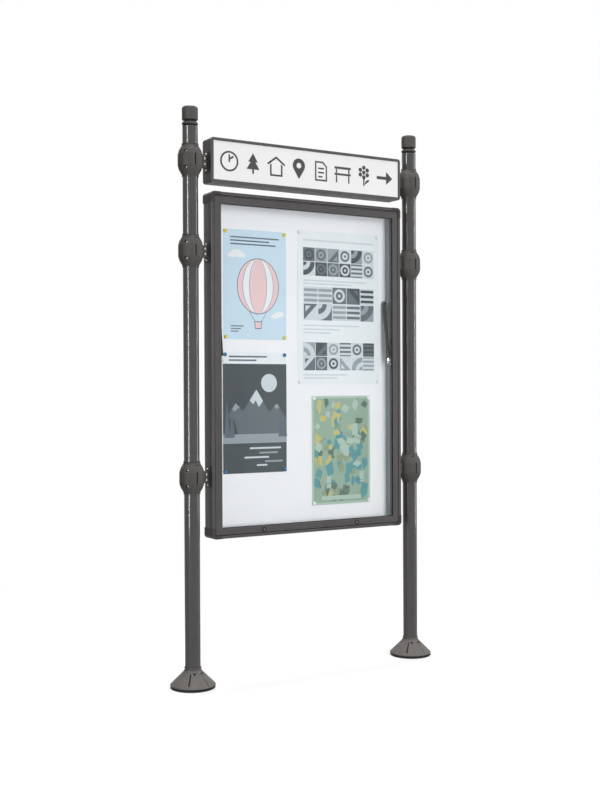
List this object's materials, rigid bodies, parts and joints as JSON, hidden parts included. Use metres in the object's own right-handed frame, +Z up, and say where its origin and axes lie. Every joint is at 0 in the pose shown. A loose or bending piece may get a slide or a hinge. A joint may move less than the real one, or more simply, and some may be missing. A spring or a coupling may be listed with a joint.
{
  "type": "lockable notice board",
  "caption": "Glazed outdoor notice board on round posts, with a header sign and a top-hinged locking door on gas struts.",
  "frame": {"origin": "on the ground, midway between the two posts", "axes": "+Z up, front of the board towards -Y, +X to the right seen from the front"},
  "size_m": [1.526, 0.222, 2.808],
  "materials": {
    "post_paint": "satin dark warm grey powder coat on steel tube",
    "cast_paint": "satin dark warm grey powder coat on cast aluminium",
    "frame_paint": "satin dark warm grey powder coat on extruded aluminium",
    "corner_plastic": "dark warm grey moulded plastic",
    "board_white": "white enamelled steel sheet that takes magnets",
    "sign_white": "white satin sign panel",
    "glazing": "clear safety glass",
    "zinc": "zinc-plated steel",
    "strut_black": "black enamelled tube",
    "strut_chrome": "polished rod",
    "lock_metal": "plated lock"
  },
  "bodies": {
    "stand": {"back_panel": "board_white", "bracket_left_header": "frame_paint", "bracket_left_lower": "frame_paint", "bracket_left_upper": "frame_paint", "bracket_right_header": "frame_paint", "bracket_right_lower": "frame_paint", "bracket_right_upper": "frame_paint", "case_corner_bottom_left": "corner_plastic", "case_corner_bottom_right": "corner_plastic", "case_corner_top_left": "corner_plastic", "case_corner_top_right": "corner_plastic", "case_rail_bottom": "frame_paint", "case_rail_left": "frame_paint", "case_rail_right": "frame_paint", "case_rail_top": "frame_paint", "collar_left_header_inner": "cast_paint", "collar_left_header_outer": "cast_paint", "collar_left_lower_inner": "cast_paint", "collar_left_lower_outer": "cast_paint", "collar_left_upper_inner": "cast_paint", "collar_left_upper_outer": "cast_paint", "collar_right_header_inner": "cast_paint", "collar_right_header_outer": "cast_paint", "collar_right_lower_inner": "cast_paint", "collar_right_lower_outer": "cast_paint", "collar_right_upper_inner": "cast_paint", "collar_right_upper_outer": "cast_paint", "finial_left": "cast_paint", "finial_right": "cast_paint", "foot_cover_left_inner": "cast_paint", "foot_cover_left_outer": "cast_paint", "foot_cover_right_inner": "cast_paint", "foot_cover_right_outer": "cast_paint", "header_end_left": "frame_paint", "header_end_right": "frame_paint", "header_panel_front": "sign_white", "header_panel_rear": "sign_white", "header_rail_bottom": "frame_paint", "header_rail_top": "frame_paint", "hinge_case_leaf": "zinc", "hinge_pin": "zinc", "post_left": "post_paint", "post_right": "post_paint", "strut_left_case_bracket": "zinc", "strut_right_case_bracket": "zinc"},
    "door": {"door_rail_left": "frame_paint", "door_rail_right": "frame_paint", "door_rail_top": "frame_paint", "door_rail_bottom": "frame_paint", "door_glass": "glazing", "hinge_door_leaf": "zinc", "strut_left_door_stud": "zinc", "strut_right_door_stud": "zinc"},
    "strut_cylinder_left": {"strut_left_cylinder": "strut_black"},
    "strut_rod_left": {"strut_left_rod": "strut_chrome"},
    "lock_left": {"lock_left": "lock_metal"},
    "strut_cylinder_right": {"strut_right_cylinder": "strut_black"},
    "strut_rod_right": {"strut_right_rod": "strut_chrome"},
    "lock_right": {"lock_right": "lock_metal"}
  },
  "joints": [
    {"name": "door_hinge", "type": "hinge", "parent": "stand", "child": "door", "pos_m": [0, -0.0385, 2.385], "axis": [-1, 0, 0], "range_deg": [0, 37.38]},
    {"name": "strut_pivot_left", "type": "hinge", "parent": "stand", "child": "strut_cylinder_left", "pos_m": [-0.4985, 0.0175, 1.901], "axis": [-1, 0, 0], "range_deg": [0, 65.7]},
    {"name": "strut_slide_left", "type": "slide", "parent": "strut_cylinder_left", "child": "strut_rod_left", "axis": [0, -0.1297, -0.9916], "range_m": [0, 0.2352]},
    {"name": "strut_pivot_right", "type": "hinge", "parent": "stand", "child": "strut_cylinder_right", "pos_m": [0.4985, 0.0175, 1.901], "axis": [-1, 0, 0], "range_deg": [0, 65.7]},
    {"name": "strut_slide_right", "type": "slide", "parent": "strut_cylinder_right", "child": "strut_rod_right", "axis": [0, -0.1297, -0.9916], "range_m": [0, 0.2352]},
    {"name": "lock_turn_left", "type": "hinge", "parent": "door", "child": "lock_left", "pos_m": [-0.27731, -0.045, 0.746], "axis": [0, -1, 0], "range_deg": [0, 90]},
    {"name": "lock_turn_right", "type": "hinge", "parent": "door", "child": "lock_right", "pos_m": [0.27731, -0.045, 0.746], "axis": [0, -1, 0], "range_deg": [0, 90]}
  ],
  "couplings": [
    {"joint": "strut_pivot_left", "follows": "door_hinge", "ratio": 1.7558},
    {"joint": "strut_slide_left", "follows": "door_hinge", "m_per_rad": 0.36021},
    {"joint": "strut_pivot_right", "follows": "door_hinge", "ratio": 1.7558},
    {"joint": "strut_slide_right", "follows": "door_hinge", "m_per_rad": 0.36021}
  ]
}
